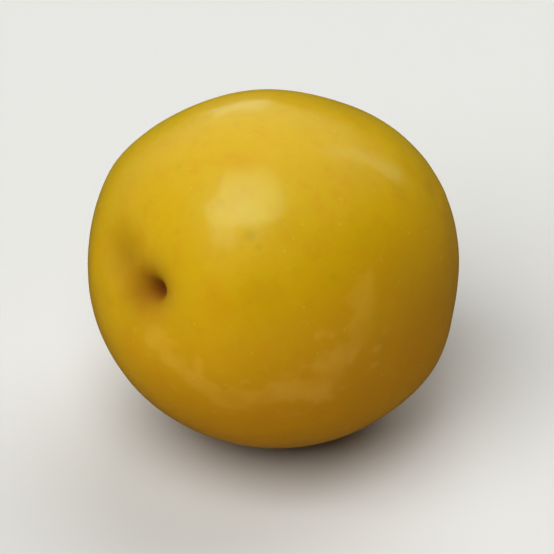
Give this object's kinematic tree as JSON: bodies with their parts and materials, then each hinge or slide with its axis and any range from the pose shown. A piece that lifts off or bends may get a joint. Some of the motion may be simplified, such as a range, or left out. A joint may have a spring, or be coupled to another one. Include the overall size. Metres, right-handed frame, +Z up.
{
  "type": "green olive",
  "caption": "Whole cured green olive, plump and glossy, lying on its side with the stem cavity raised to one end.",
  "frame": {"origin": "on the surface the olive rests on, under the middle of its box", "axes": "+Z up, the long axis along X with the stem end towards -X and raised 17 degrees"},
  "size_m": [0.0208, 0.0192, 0.0191],
  "materials": {
    "skin": "wet glossy cured olive skin, golden olive green"
  },
  "bodies": {
    "root": {"olive": "skin"}
  },
  "joints": []
}
